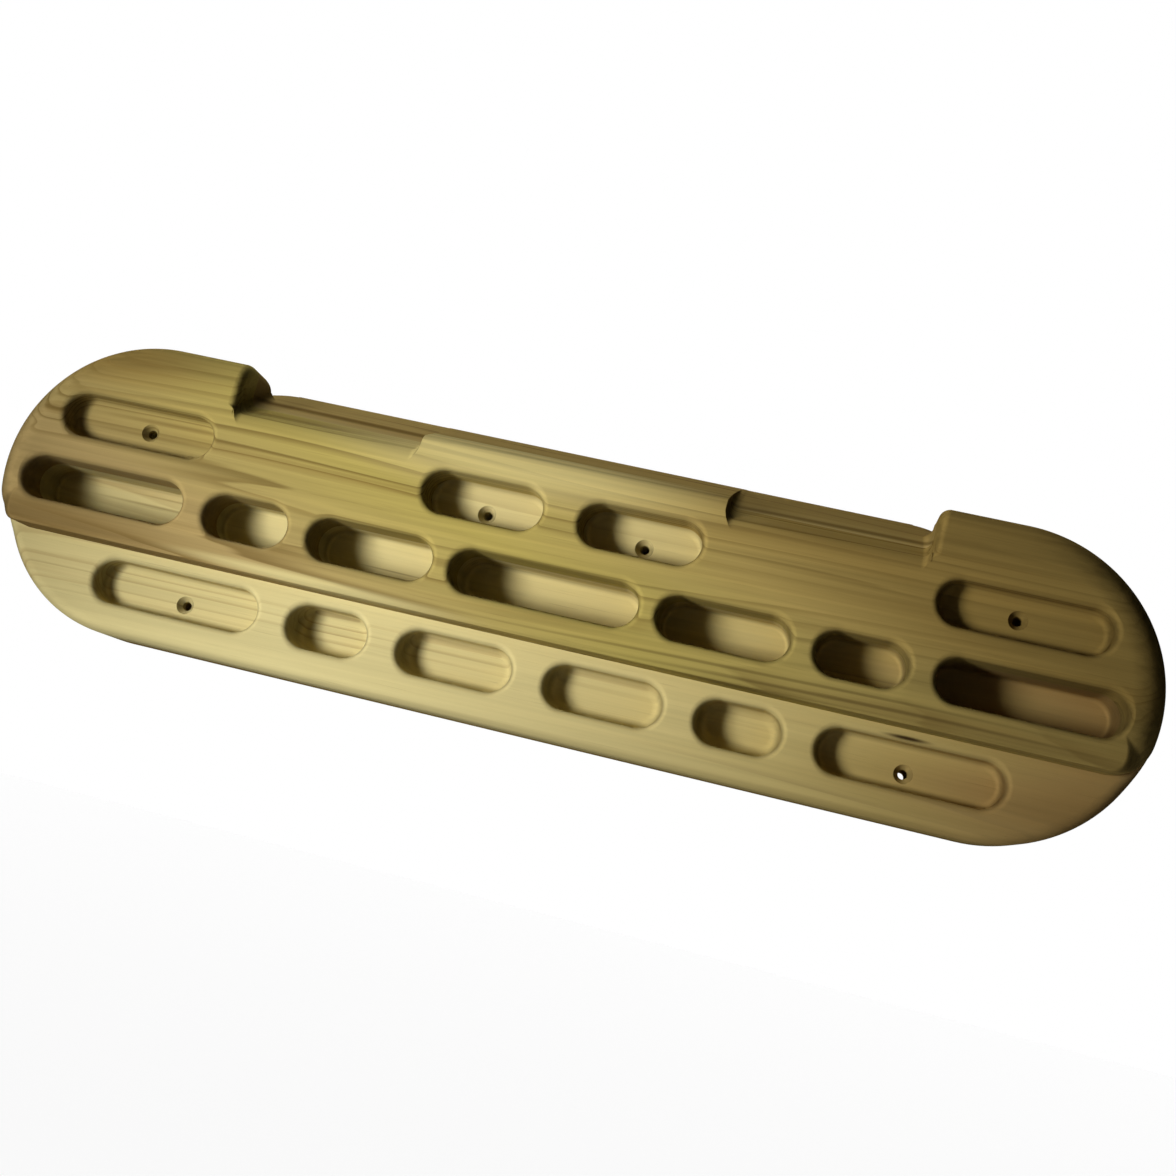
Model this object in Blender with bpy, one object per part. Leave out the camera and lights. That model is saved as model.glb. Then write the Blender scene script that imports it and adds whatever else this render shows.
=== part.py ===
"""Wooden climbing hangboard, glued up from three boards and then machined.

X runs along the board, +Y into the wall and +Z up. The origin is the centre of the back face, so the front
of the board is at negative Y. A depth is measured forward from the back face.
"""
import math

import bmesh
import bpy

MM = 0.001

# Blank
LENGTH = 580 * MM
HEIGHT = 150 * MM
BACK_BOARD = 19.3 * MM
MIDDLE_BOARD = 19.4 * MM
FRONT_BOARD = 19.3 * MM
GLUE_GAP = 0.3 * MM
REAR_ROUND = 3 * MM
LOWER_ROUND = 7 * MM
UPPER_ROUND = 18 * MM

# Step between the upper and the lower tier
STEP_Z = -31.2 * MM
STEP_ROUND = 1 * MM
STEP_CORNER = 20 * MM
# Share of the corner's quarter turn over which the wide round at the ends narrows to the one along the step
STEP_FADE = 0.6

# Sloping holds
SIDE_SLOPE = math.radians(27.5)
CENTRE_SLOPE = math.radians(20)
SIDE_SLOPE_ROUND = 10 * MM
CENTRE_SLOPE_ROUND = 7 * MM
CENTRE_HALF = 76 * MM
CENTRE_FILLET = 5 * MM
LOBE_INNER = 174 * MM
LOBE_FILLET = 4.5 * MM
LOBE_FRONT_ROUND = 4 * MM
LOBE_TOP_ROUND = 5.5 * MM

# Jugs: a trough behind each lobe, whose inner end rises in a wide round to the top of the board. Above the
# join angle, in degrees from the top of that round, the round is cut on its own.
TROUGH_DEPTH = 17.5 * MM
TROUGH_FLOOR_Z = 50 * MM
TROUGH_FILLET = 12 * MM
TROUGH_LIP_ROUND = 8 * MM
TROUGH_START = 165 * MM
TROUGH_JOIN_ANGLE = 50
# How far the hollow behind a lobe lies under the slope beside it
SLOPE_CLEAR = 0.1 * MM

# Pocket rows: height of the centre line, width of the slots and round of their rims
TOP_ROW_Z = 29.2 * MM
MIDDLE_ROW_Z = -6.2 * MM
BOTTOM_ROW_Z = -48.2 * MM
SLOT_WIDTH = 22 * MM
RIM_ROUND = 3.5 * MM

# Screw holes
SCREW_BORE = 4.6 * MM
COUNTERSINK = 9.2 * MM
COUNTERSINK_DEPTH = 3 * MM
HOLE_CLEAR = 0.2 * MM

# Timber colours: the two outer boards are darker than the one between them
COLOURS = {
    "back_lamination": (0.46, 0.38, 0.22),
    "middle_lamination": (0.58, 0.48, 0.27),
    "front_lamination": (0.40, 0.33, 0.14),
}

# How finely the round shapes are cut
END_SEGMENTS = 22
CORNER_SEGMENTS = 6
ROUND_SEGMENTS = 4
POCKET_SEGMENTS = 8
FILLET_SEGMENTS = 3
HOLE_SEGMENTS = 16

THICKNESS = BACK_BOARD + MIDDLE_BOARD + FRONT_BOARD
LOWER_FACE = BACK_BOARD + MIDDLE_BOARD
END_RADIUS = HEIGHT / 2
END_CENTRE = LENGTH / 2 - END_RADIUS
CLEAR = 5 * MM

# Each pocket: name, inner and outer end of its wall measured from the middle, row height, face it is cut
# from, depth and round of its floor. A pocket with an inner end of None lies across the middle.
POCKETS = [
    ("top_outer", 180.7 * MM, 260.2 * MM, TOP_ROW_Z, THICKNESS, 12.5 * MM, 3.5 * MM),
    ("top_inner", 9.5 * MM, 69 * MM, TOP_ROW_Z, THICKNESS, 22 * MM, 3.5 * MM),
    ("middle_outer", 186.7 * MM, 272.5 * MM, MIDDLE_ROW_Z, THICKNESS, 37 * MM, 6 * MM),
    ("middle_two", 131 * MM, 174 * MM, MIDDLE_ROW_Z, THICKNESS, 28.5 * MM, 7 * MM),
    ("middle_three", 56 * MM, 119 * MM, MIDDLE_ROW_Z, THICKNESS, 31 * MM, 7 * MM),
    ("middle_centre", None, 46.3 * MM, MIDDLE_ROW_Z, THICKNESS, 34 * MM, 8 * MM),
    ("bottom_outer", 141.3 * MM, 228.9 * MM, BOTTOM_ROW_Z, LOWER_FACE, 13 * MM, 3.5 * MM),
    ("bottom_two", 83.3 * MM, 124.2 * MM, BOTTOM_ROW_Z, LOWER_FACE, 18 * MM, 6 * MM),
    ("bottom_three", 8.7 * MM, 66.4 * MM, BOTTOM_ROW_Z, LOWER_FACE, 14.5 * MM, 6 * MM),
]

# Each pair of screw holes: pocket it starts in, distance from the middle, height
SCREWS = [
    ("top_outer", 218.6 * MM, 28.8 * MM),
    ("top_inner", 40.2 * MM, 26.3 * MM),
    ("bottom_outer", 183.5 * MM, -50.9 * MM),
]


def clear_scene():
    for obj in list(bpy.data.objects):
        bpy.data.objects.remove(obj, do_unlink=True)


def wood(name, colour):
    material = bpy.data.materials.new(name)
    material.use_nodes = True
    shader = material.node_tree.nodes["Principled BSDF"]
    shader.inputs["Base Color"].default_value = (*colour, 1.0)
    shader.inputs["Roughness"].default_value = 0.6
    shader.inputs["Metallic"].default_value = 0.0
    material.diffuse_color = (*colour, 1.0)
    return material


def add_object(name, bm):
    bmesh.ops.recalc_face_normals(bm, faces=bm.faces)
    mesh = bpy.data.meshes.new(name)
    bm.to_mesh(mesh)
    bm.free()
    obj = bpy.data.objects.new(name, mesh)
    bpy.context.scene.collection.objects.link(obj)
    return obj


def add_cutter(name, bm):
    cutter = add_object(name, bm)
    cutter.hide_render = True
    cutter.display_type = "WIRE"
    return cutter


def arc(centre, radius, start, end, segments):
    """Points along an arc, from the start angle to the end angle in degrees."""
    points = []
    for step in range(segments + 1):
        angle = math.radians(start + (end - start) * step / segments)
        points.append((centre[0] + radius * math.cos(angle), centre[1] + radius * math.sin(angle)))
    return points


def blend(low, high, share):
    """A smooth change from low to high as share goes from 0 to 1."""
    share = min(max(share, 0.0), 1.0)
    return low + (high - low) * share * share * (3 - 2 * share)


def quarter_outline():
    """Right lower quarter of the plain outline: points with their outward normals, from the bottom up."""
    outline = []
    for x, z in arc((0, 0), 1.0, -90, 0, END_SEGMENTS // 2):
        outline.append((END_CENTRE + END_RADIUS * x, END_RADIUS * z, x, z))
    return outline


def step_quarter():
    """The same quarter for the upper tier, whose end turns into the step round a corner."""
    inner = END_RADIUS - STEP_CORNER
    height = STEP_Z + STEP_CORNER
    along = math.sqrt(inner ** 2 - height ** 2)
    meeting = math.degrees(math.atan2(height, along))
    centre = (END_CENTRE + along, height)
    outline = []
    for x, z in arc((0, 0), 1.0, -90, meeting, CORNER_SEGMENTS):
        outline.append((centre[0] + STEP_CORNER * x, centre[1] + STEP_CORNER * z, x, z))
    for x, z in arc((0, 0), 1.0, meeting, 0, END_SEGMENTS // 2)[1:]:
        outline.append((END_CENTRE + END_RADIUS * x, END_RADIUS * z, x, z))
    return outline


def full_outline(lower_quarter):
    """Closes the outline: the top right quarter is plain, and the left half mirrors the right."""
    upper_quarter = [(x, -z, nx, -nz) for x, z, nx, nz in reversed(quarter_outline())][1:]
    right = lower_quarter + upper_quarter
    left = [(-x, z, -nx, nz) for x, z, nx, nz in reversed(right)]
    return right + left


def lower_edge_round(z, rise):
    """The lower tier is rounded over, and the round fades out where the upper tier covers it."""
    return blend(LOWER_ROUND, GLUE_GAP, (z - STEP_Z) / STEP_CORNER + 0.3)


def upper_edge_round(z, rise):
    """The upper tier has a wide round at its ends, which runs out round the corner into the step."""
    turned = 1 + math.degrees(math.asin(max(rise, -1.0))) / 90
    return blend(STEP_ROUND, UPPER_ROUND, turned / STEP_FADE)


def rear_edge_round(z, rise):
    """The same round all the way along the back."""
    return REAR_ROUND


def ring(bm, outline, depth, edge_round, angle, towards_front):
    """One loop of the board's edge: at 90 degrees on the side, at 0 on the face."""
    loop = []
    for x, z, nx, nz in outline:
        size = edge_round(z, nz)
        inset = size * (1 - math.sin(angle))
        drop = size * (1 - math.cos(angle))
        forward = depth - drop if towards_front else depth + drop
        loop.append(bm.verts.new((x - nx * inset, -forward, z - nz * inset)))
    return loop


def join_loops(bm, first, second):
    count = len(first)
    for index in range(count):
        following = (index + 1) % count
        bm.faces.new((first[index], first[following], second[following], second[index]))


def board(name, outline, back, front, back_round, front_round):
    """A board between two depths, with its back and front edges rounded where a round is given."""
    bm = bmesh.new()
    turns = [math.radians(90 * step / ROUND_SEGMENTS) for step in range(ROUND_SEGMENTS + 1)]
    loops = []
    if back_round:
        loops += [ring(bm, outline, back, back_round, turn, False) for turn in turns]
    else:
        loops.append([bm.verts.new((x, -back, z)) for x, z, nx, nz in outline])
    if front_round:
        loops += [ring(bm, outline, front, front_round, turn, True) for turn in reversed(turns)]
    else:
        loops.append([bm.verts.new((x, -front, z)) for x, z, nx, nz in outline])
    for first, second in zip(loops, loops[1:]):
        join_loops(bm, first, second)
    bm.faces.new(loops[0])
    bm.faces.new(loops[-1])
    return add_object(name, bm)


def pocket_cutter(name, left, right, height, face, depth, floor_round):
    """A slot with round ends: flat floor, rounded floor corner, straight wall and rounded rim."""
    wall = SLOT_WIDTH / 2
    floor = face - depth
    profile = arc((wall - floor_round, floor + floor_round), floor_round, -90, 0, FILLET_SEGMENTS)
    profile += arc((wall + RIM_ROUND, face - RIM_ROUND), RIM_ROUND, 180, 90, FILLET_SEGMENTS)
    profile.append((wall + RIM_ROUND, face + CLEAR))
    bm = bmesh.new()
    loops = []
    for radius, forward in profile:
        loop = []
        for x, z in arc((right - wall, height), radius, -90, 90, POCKET_SEGMENTS):
            loop.append(bm.verts.new((x, -forward, z)))
        for x, z in arc((left + wall, height), radius, 90, 270, POCKET_SEGMENTS):
            loop.append(bm.verts.new((x, -forward, z)))
        loops.append(loop)
    for first, second in zip(loops, loops[1:]):
        join_loops(bm, first, second)
    bm.faces.new(loops[0])
    bm.faces.new(loops[-1])
    return add_cutter(name, bm)


def screw_cutter(name, x, z, floor):
    """A countersunk hole through the board, from a pocket's floor to the back."""
    widening = (COUNTERSINK - SCREW_BORE) / 2 / COUNTERSINK_DEPTH
    mouth = COUNTERSINK / 2 + HOLE_CLEAR * widening
    profile = [
        (SCREW_BORE / 2, -CLEAR),
        (SCREW_BORE / 2, floor - COUNTERSINK_DEPTH),
        (mouth, floor + HOLE_CLEAR),
        (mouth, floor + CLEAR),
    ]
    bm = bmesh.new()
    start = [bm.verts.new((x + radius, -forward, z)) for radius, forward in profile]
    edges = [bm.edges.new(pair) for pair in zip(start, start[1:])]
    bmesh.ops.spin(bm, geom=start + edges, cent=(x, 0, z), axis=(0, 1, 0), angle=math.tau,
                   steps=HOLE_SEGMENTS, use_merge=True)
    bmesh.ops.holes_fill(bm, edges=bm.edges)
    return add_cutter(name, bm)


def prism(bm, profile, left, right):
    """Extrudes a closed profile of (depth, height) points along X."""
    start = [bm.verts.new((left, -forward, z)) for forward, z in profile]
    face = bm.faces.new(start)
    made = bmesh.ops.extrude_face_region(bm, geom=[face])["geom"]
    moved = [item for item in made if isinstance(item, bmesh.types.BMVert)]
    bmesh.ops.translate(bm, verts=moved, vec=(right - left, 0, 0))


def slope_profile(slope, edge_round):
    """What is cut away above a slope that starts at the top of the back face, with a rounded front edge."""
    fall = math.tan(slope)
    start_z = END_RADIUS + CLEAR * fall
    # The round touches the slope and the front face, so its centre is one radius inside both.
    centre_depth = THICKNESS - edge_round
    centre_z = END_RADIUS - centre_depth * fall - edge_round / math.cos(slope)
    turn = math.degrees(slope)
    profile = [(-CLEAR, start_z)]
    profile += arc((centre_depth, centre_z), edge_round, 90 - turn, 0, ROUND_SEGMENTS)
    profile += [(THICKNESS + CLEAR, centre_z), (THICKNESS + CLEAR, HEIGHT), (-CLEAR, HEIGHT)]
    return profile


def slope_cutter(name, slope, edge_round, left, right, fillets):
    """A slope between two X positions. Each fillet is an end's X position and a radius."""
    bm = bmesh.new()
    prism(bm, slope_profile(slope, edge_round), left, right)
    for x, radius in fillets:
        edges = [edge for edge in bm.edges if is_slope_end(edge, x)]
        bmesh.ops.bevel(bm, geom=edges, offset=radius, segments=ROUND_SEGMENTS, profile=0.5,
                        affect="EDGES", material=-1)
    return add_cutter(name, bm)


def is_slope_end(edge, x):
    """True on the lower edges of a slope cutter's end face, where a fillet is wanted."""
    middle = (edge.verts[0].co + edge.verts[1].co) / 2
    along = edge.verts[1].co - edge.verts[0].co
    at_end = abs(edge.verts[0].co.x - x) < CLEAR / 50 and abs(edge.verts[1].co.x - x) < CLEAR / 50
    return at_end and middle.z < END_RADIUS + CLEAR and abs(along.y) > CLEAR / 50 and middle.y > -THICKNESS


def loft(name, sections):
    """A cutter skinned over closed sections that have the same number of points."""
    bm = bmesh.new()
    loops = [[bm.verts.new(point) for point in section] for section in sections]
    for first, second in zip(loops, loops[1:]):
        join_loops(bm, first, second)
    bm.faces.new(loops[0])
    bm.faces.new(loops[-1])
    return add_cutter(name, bm)


def lip_arc():
    """The round over the rear edge of a lobe, from the trough's front wall to the lobe's top."""
    centre = (TROUGH_DEPTH + TROUGH_LIP_ROUND, END_RADIUS - TROUGH_LIP_ROUND)
    return arc(centre, TROUGH_LIP_ROUND, 180, 90, ROUND_SEGMENTS)


def trough_section(x, floor_z, fillet):
    """The hollow behind a lobe at one X: open at the back, with a rounded front corner and a rounded lip."""
    profile = [(-CLEAR, floor_z)]
    profile += arc((TROUGH_DEPTH - fillet, floor_z + fillet), fillet, -90, 0, ROUND_SEGMENTS)
    profile += lip_arc()
    profile += [(TROUGH_DEPTH + TROUGH_LIP_ROUND, HEIGHT), (-CLEAR, HEIGHT)]
    return [(x, -forward, z) for forward, z in profile]


def trough_cutter(name, side):
    """The trough: its floor falls along the wide round at its inner end and then runs level."""
    drop = END_RADIUS - TROUGH_FLOOR_Z
    sections = []
    for step in range(ROUND_SEGMENTS + 1):
        share = step / ROUND_SEGMENTS
        angle = math.radians(TROUGH_JOIN_ANGLE + (90 - TROUGH_JOIN_ANGLE) * share)
        x = TROUGH_START + drop * math.sin(angle)
        floor_z = TROUGH_FLOOR_Z + drop * math.cos(angle)
        sections.append(trough_section(side * x, floor_z, TROUGH_FILLET * (0.05 + 0.95 * share)))
    sections.append(trough_section(side * LENGTH, TROUGH_FLOOR_Z, TROUGH_FILLET))
    return loft(name, sections)


def trough_start_cutter(name, side):
    """The upper part of the wide round, where the trough is not yet as deep as its lip."""
    drop = END_RADIUS - TROUGH_FLOOR_Z
    profile = arc((TROUGH_START, TROUGH_FLOOR_Z), drop, 90, 90 - TROUGH_JOIN_ANGLE, ROUND_SEGMENTS)
    outer = TROUGH_START + drop
    profile += [(outer, profile[-1][1]), (outer, HEIGHT), (TROUGH_START, HEIGHT)]
    sections = []
    for forward in (-CLEAR, TROUGH_DEPTH - GLUE_GAP):
        sections.append([(side * x, -forward, z) for x, z in profile])
    return loft(name, sections)


def lip_end_cutter(name, side):
    """Clears the strip between slope and trough, above the slope and behind the lobe's lip."""
    fall = math.tan(SIDE_SLOPE)
    top = END_RADIUS - SLOPE_CLEAR
    profile = [(-CLEAR, top + CLEAR * fall), (TROUGH_DEPTH, top - TROUGH_DEPTH * fall)]
    profile += lip_arc()
    profile += [(TROUGH_DEPTH + TROUGH_LIP_ROUND, HEIGHT), (-CLEAR, HEIGHT)]
    outer = TROUGH_START + END_RADIUS - TROUGH_FLOOR_Z
    sections = []
    for x in (LOBE_INNER - 2 * LOBE_FILLET, outer):
        sections.append([(side * x, -forward, z) for forward, z in profile])
    return loft(name, sections)


def slope_depth(z):
    """How far forward of the back face the side slope lies at a height, ignoring its front round."""
    return (END_RADIUS - z) / math.tan(SIDE_SLOPE)


def lobe_edge_path():
    """The inner edge of a lobe, from the slope's front over to the lip: depth, height, angle and radius."""
    path = []
    low = END_RADIUS - THICKNESS * math.tan(SIDE_SLOPE)
    high = END_RADIUS - UPPER_ROUND
    for step in range(2 * ROUND_SEGMENTS + 1):
        z = low + (high - low) * step / (2 * ROUND_SEGMENTS)
        room = THICKNESS - slope_depth(z) - LOBE_FILLET
        path.append((THICKNESS, z, 0, min(max(room, GLUE_GAP), LOBE_FRONT_ROUND)))
    for step in range(1, ROUND_SEGMENTS + 1):
        share = step / ROUND_SEGMENTS
        angle = math.radians(90 * share)
        forward = THICKNESS - UPPER_ROUND * (1 - math.cos(angle))
        z = high + UPPER_ROUND * math.sin(angle)
        path.append((forward, z, 90 * share, blend(LOBE_FRONT_ROUND, LOBE_TOP_ROUND, share)))
    for step in range(ROUND_SEGMENTS + 1):
        share = step / ROUND_SEGMENTS
        angle = math.radians(90 + 90 * share)
        forward = TROUGH_DEPTH + TROUGH_LIP_ROUND * (1 + math.cos(angle))
        z = END_RADIUS - TROUGH_LIP_ROUND * (1 - math.sin(angle))
        path.append((forward, z, 90 + 90 * share, blend(LOBE_TOP_ROUND, GLUE_GAP, share)))
    return path


def lobe_edge_cutter(name, side):
    """Rounds a lobe's inner edge with a cutter swept along it."""
    sections = []
    for forward, z, angle, radius in lobe_edge_path():
        out = (math.cos(math.radians(angle)), math.sin(math.radians(angle)))
        profile = []
        for along, up in arc((radius, -radius), radius, 180, 90, FILLET_SEGMENTS):
            profile.append((along, up))
        profile += [(radius, CLEAR), (-GLUE_GAP, CLEAR), (-GLUE_GAP, -radius)]
        section = []
        for along, up in profile:
            x = side * (LOBE_INNER + along)
            section.append((x, -(forward + up * out[0]), z + up * out[1]))
        sections.append(section)
    return loft(name, sections)


def all_cutters():
    """Every cutter, each with the depths between which it removes wood."""
    cutters = []
    floors = {}
    for name, inner, outer, height, face, depth, floor_round in POCKETS:
        floors[name] = face - depth
        reach = (face - depth, face)
        if inner is None:
            cutter = pocket_cutter(f"cut_{name}", -outer, outer, height, face, depth, floor_round)
            cutters.append((cutter, reach))
            continue
        for side, label in ((-1, "left"), (1, "right")):
            ends = sorted((side * inner, side * outer))
            cutter = pocket_cutter(f"cut_{name}_{label}", *ends, height, face, depth, floor_round)
            cutters.append((cutter, reach))
    for name, x, z in SCREWS:
        for side, label in ((-1, "left"), (1, "right")):
            cutter = screw_cutter(f"cut_screw_{name}_{label}", side * x, z, floors[name])
            cutters.append((cutter, (0, floors[name])))
    reach = LOBE_INNER / 2
    centre = slope_cutter("cut_centre_slope", CENTRE_SLOPE, CENTRE_SLOPE_ROUND, -reach, reach, [])
    cutters.append((centre, (0, THICKNESS)))
    for side, label in ((-1, "left"), (1, "right")):
        ends = (side * CENTRE_HALF, side * LOBE_INNER)
        fillets = [(ends[0], CENTRE_FILLET), (ends[1], LOBE_FILLET)]
        slope = slope_cutter(f"cut_side_slope_{label}", SIDE_SLOPE, SIDE_SLOPE_ROUND, *ends, fillets)
        cutters.append((slope, (0, THICKNESS)))
        trough_reach = (0, TROUGH_DEPTH + TROUGH_LIP_ROUND)
        cutters.append((lip_end_cutter(f"cut_lip_end_{label}", side), trough_reach))
        cutters.append((trough_start_cutter(f"cut_trough_start_{label}", side), trough_reach))
        cutters.append((trough_cutter(f"cut_trough_{label}", side), trough_reach))
        cutters.append((lobe_edge_cutter(f"cut_lobe_edge_{label}", side), (TROUGH_DEPTH, THICKNESS)))
    return cutters


def cut(obj, cutters, back, front):
    for cutter, (low, high) in cutters:
        if high <= back or low >= front:
            continue
        modifier = obj.modifiers.new(cutter.name, "BOOLEAN")
        modifier.operation = "DIFFERENCE"
        modifier.solver = "EXACT"
        modifier.object = cutter


def build():
    clear_scene()
    cutters = all_cutters()
    plain = full_outline(quarter_outline())
    stepped = full_outline(step_quarter())
    seam = BACK_BOARD + GLUE_GAP / 2
    boards = [
        ("back_lamination", plain, 0.0, seam - GLUE_GAP, rear_edge_round, None),
        ("middle_lamination", plain, seam, LOWER_FACE, None, lower_edge_round),
        ("front_lamination", stepped, LOWER_FACE + GLUE_GAP, THICKNESS, None, upper_edge_round),
    ]
    for name, outline, back, front, back_round, front_round in boards:
        lamination = board(name, outline, back, front, back_round, front_round)
        cut(lamination, cutters, back, front)
        lamination.data.materials.append(wood(name, COLOURS[name]))


build()
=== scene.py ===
# %% [markdown]
# # A wooden climbing hangboard
# A hangboard is a block of hardwood that hangs over a doorway. Climbers train their fingers in its slots, on
# its sloping holds and on the two jugs at its top corners. This one is taken to be three boards, glued up
# face to face and then shaped by a router, which leaves every edge with a soft round. The script keeps the
# CAD model as its frame. It makes each board again with finer rounds, and gives the timber its grain.

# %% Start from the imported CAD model
import math
from collections import namedtuple

import bmesh
import bpy
from mathutils import Matrix, Vector


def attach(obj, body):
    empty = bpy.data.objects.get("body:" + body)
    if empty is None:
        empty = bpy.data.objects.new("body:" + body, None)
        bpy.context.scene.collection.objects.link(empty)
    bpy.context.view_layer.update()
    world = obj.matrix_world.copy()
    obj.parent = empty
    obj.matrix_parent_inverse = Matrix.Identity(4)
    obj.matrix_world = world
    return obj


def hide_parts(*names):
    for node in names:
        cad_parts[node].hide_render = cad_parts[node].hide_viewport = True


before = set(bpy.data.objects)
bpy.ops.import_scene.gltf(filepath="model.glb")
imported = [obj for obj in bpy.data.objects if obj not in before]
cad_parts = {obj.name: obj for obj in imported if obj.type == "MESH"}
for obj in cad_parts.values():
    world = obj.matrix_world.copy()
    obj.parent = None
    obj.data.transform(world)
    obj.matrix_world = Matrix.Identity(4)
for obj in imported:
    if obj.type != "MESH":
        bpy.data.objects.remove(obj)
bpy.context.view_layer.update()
print("boards:", sorted(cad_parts))

# %% [markdown]
# The camera comes first, because every later look is judged through it. The photograph was taken from a
# little right of the middle and from below the board, with the camera tilted, so the board runs downhill.
# The three angles turn the camera left, up and round its own line of sight.

# %% Camera
CAMERA_PLACE = Vector((0.12995, -0.73544, -0.110))
TURN_LEFT = 0.1589
LOOK_UP = 0.1561
TILT = 0.2442
SENSOR_WIDTH = 36
FOCAL_LENGTH = 45.055

camera = bpy.data.objects.new("camera", bpy.data.cameras.new("camera"))
bpy.context.scene.collection.objects.link(camera)
look_ahead = Matrix.Rotation(math.pi / 2 + LOOK_UP, 4, "X")
turned = Matrix.Rotation(TURN_LEFT, 4, "Z") @ look_ahead @ Matrix.Rotation(TILT, 4, "Z")
camera.matrix_world = Matrix.Translation(CAMERA_PLACE) @ turned
camera.data.sensor_width = SENSOR_WIDTH
camera.data.lens = FOCAL_LENGTH
camera.data.clip_start = 0.01
bpy.context.scene.camera = camera
print("camera looks along", [round(part, 3) for part in turned.to_3x3() @ Vector((0, 0, -1))])

# %% [markdown]
# These are the sizes of the CAD model. A depth is measured forward from the flat back face, and the front
# of the board points along -Y. The fine boards leave a hair's breadth at each glue line, because two faces
# in one place would flicker.

# %% Sizes of the blank
MM = 0.001
LENGTH = 580 * MM
HEIGHT = 150 * MM
BACK_SEAM = 19.3 * MM
LOWER_FACE = 38.7 * MM
FRONT_FACE = 58 * MM
END_RADIUS = HEIGHT / 2
END_CENTRE = LENGTH / 2 - END_RADIUS
STEP_Z = -31.2 * MM
STEP_CORNER = 20 * MM
CLEAR = 5 * MM
HAIR = 0.02 * MM

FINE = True
END_STEPS = 64 if FINE else 32
ROUND_STEPS = 16 if FINE else 6
print("thickness in mm:", round(FRONT_FACE / MM, 1))

# %% [markdown]
# Blender can spin a vertex round a centre, which draws an arc, and it can extrude a whole loop of edges.
# Those two operators make nearly every shape here. Each vertex of an outline also stores where it started
# and which way is outwards. Blender copies these two values whenever the vertex is extruded, so a loop that
# was pulled up many times still knows how to grow or shrink.

# %% Helpers for outlines
def store_layers(bm):
    """The two values that each vertex of an outline carries."""
    return bm.verts.layers.float_vector.new("start"), bm.verts.layers.float_vector.new("outward")


def spin_chain(bm, start, turns, axis):
    """Spins a vertex round each centre in turn, and gives the chain of vertices that it leaves behind."""
    place, outward = bm.verts.layers.float_vector["start"], bm.verts.layers.float_vector["outward"]
    chain = [bm.verts.new(start)]
    for centre, angle, steps in turns:
        known = set(bm.verts)
        bmesh.ops.spin(bm, geom=[chain[-1]], cent=centre, axis=axis, angle=angle, steps=steps)
        chain += [vert for vert in bm.verts if vert not in known]
        for vert in chain[-steps - 1:]:
            vert[place] = vert.co
            vert[outward] = (vert.co - Vector(centre)).normalized()
    return chain


def close_loop(bm, chain):
    """Joins the last vertex to the first, and every pair between that has no edge yet."""
    pairs = zip(chain, chain[1:] + chain[:1])
    return [bm.edges.get(pair) or bm.edges.new(pair) for pair in pairs]


def pull_loop(bm, edges, place_of):
    """Extrudes a closed loop of edges, and puts each new vertex where place_of says."""
    made = bmesh.ops.extrude_edge_only(bm, edges=edges)["geom"]
    for vert in made:
        if isinstance(vert, bmesh.types.BMVert):
            vert.co = place_of(vert)
    return [edge for edge in made if isinstance(edge, bmesh.types.BMEdge) and edge.is_boundary]


def close_mesh(name, bm):
    """Merges doubles, turns the faces outwards and gives the finished object."""
    bmesh.ops.remove_doubles(bm, verts=bm.verts, dist=HAIR / 10)
    bmesh.ops.recalc_face_normals(bm, faces=bm.faces)
    mesh = bpy.data.meshes.new(name)
    bm.to_mesh(mesh)
    bm.free()
    made = bpy.data.objects.new(name, mesh)
    bpy.context.scene.collection.objects.link(made)
    return made


def blend(low, high, share):
    """A smooth change from low to high as share goes from 0 to 1."""
    share = min(max(share, 0.0), 1.0)
    return low + (high - low) * share * share * (3 - 2 * share)


print("a share of 0.5 blends 0 and 10 to", blend(0, 10, 0.5))

# %% [markdown]
# The blank. Seen from the front, the lower tier is a bar with round ends. The upper tier is the same bar,
# cut off at the step, with a rounded corner at each end of the cut. A bevel gives one width all the way
# round. Here the wide round at the ends has to narrow as it turns the corner into the step, so the outline
# is pulled up in rings over a quarter circle, and each vertex has a round of its own size.

# %% Blank
REAR_ROUND = 3 * MM
LOWER_ROUND = 7 * MM
UPPER_ROUND = 18 * MM
STEP_ROUND = 1 * MM
STEP_FADE = 0.6
FADE_BELOW_STEP = 0.3
FRONT_AXIS = (0, -1, 0)


def plain_outline(bm):
    """The bar with round ends."""
    chain = []
    for side in (1, -1):
        centre = (side * END_CENTRE, 0, 0)
        start = (side * END_CENTRE, 0, -side * END_RADIUS)
        chain += spin_chain(bm, start, [(centre, math.pi, END_STEPS)], FRONT_AXIS)
    return close_loop(bm, chain)


def stepped_outline(bm):
    """The same bar above the step, with its two corners."""
    corner_z = STEP_Z + STEP_CORNER
    corner_x = END_CENTRE + math.sqrt((END_RADIUS - STEP_CORNER) ** 2 - corner_z ** 2)
    lean = math.atan2(corner_z, corner_x - END_CENTRE)
    corner_turn = math.pi / 2 + lean
    end_turn = math.pi - corner_turn
    chain = spin_chain(bm, (corner_x, 0, STEP_Z),
                       [((corner_x, 0, corner_z), corner_turn, END_STEPS // 3),
                        ((END_CENTRE, 0, 0), end_turn, END_STEPS)], FRONT_AXIS)
    chain += spin_chain(bm, (-END_CENTRE, 0, END_RADIUS),
                        [((-END_CENTRE, 0, 0), end_turn, END_STEPS),
                         ((-corner_x, 0, corner_z), corner_turn, END_STEPS // 3)], FRONT_AXIS)
    return close_loop(bm, chain)


def rear_round(start, outward):
    """The back edge has the same round everywhere."""
    return REAR_ROUND


def lower_round(start, outward):
    """The round of the lower tier fades out where the upper tier covers it."""
    return blend(LOWER_ROUND, HAIR, (start.z - STEP_Z) / STEP_CORNER + FADE_BELOW_STEP)


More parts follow.
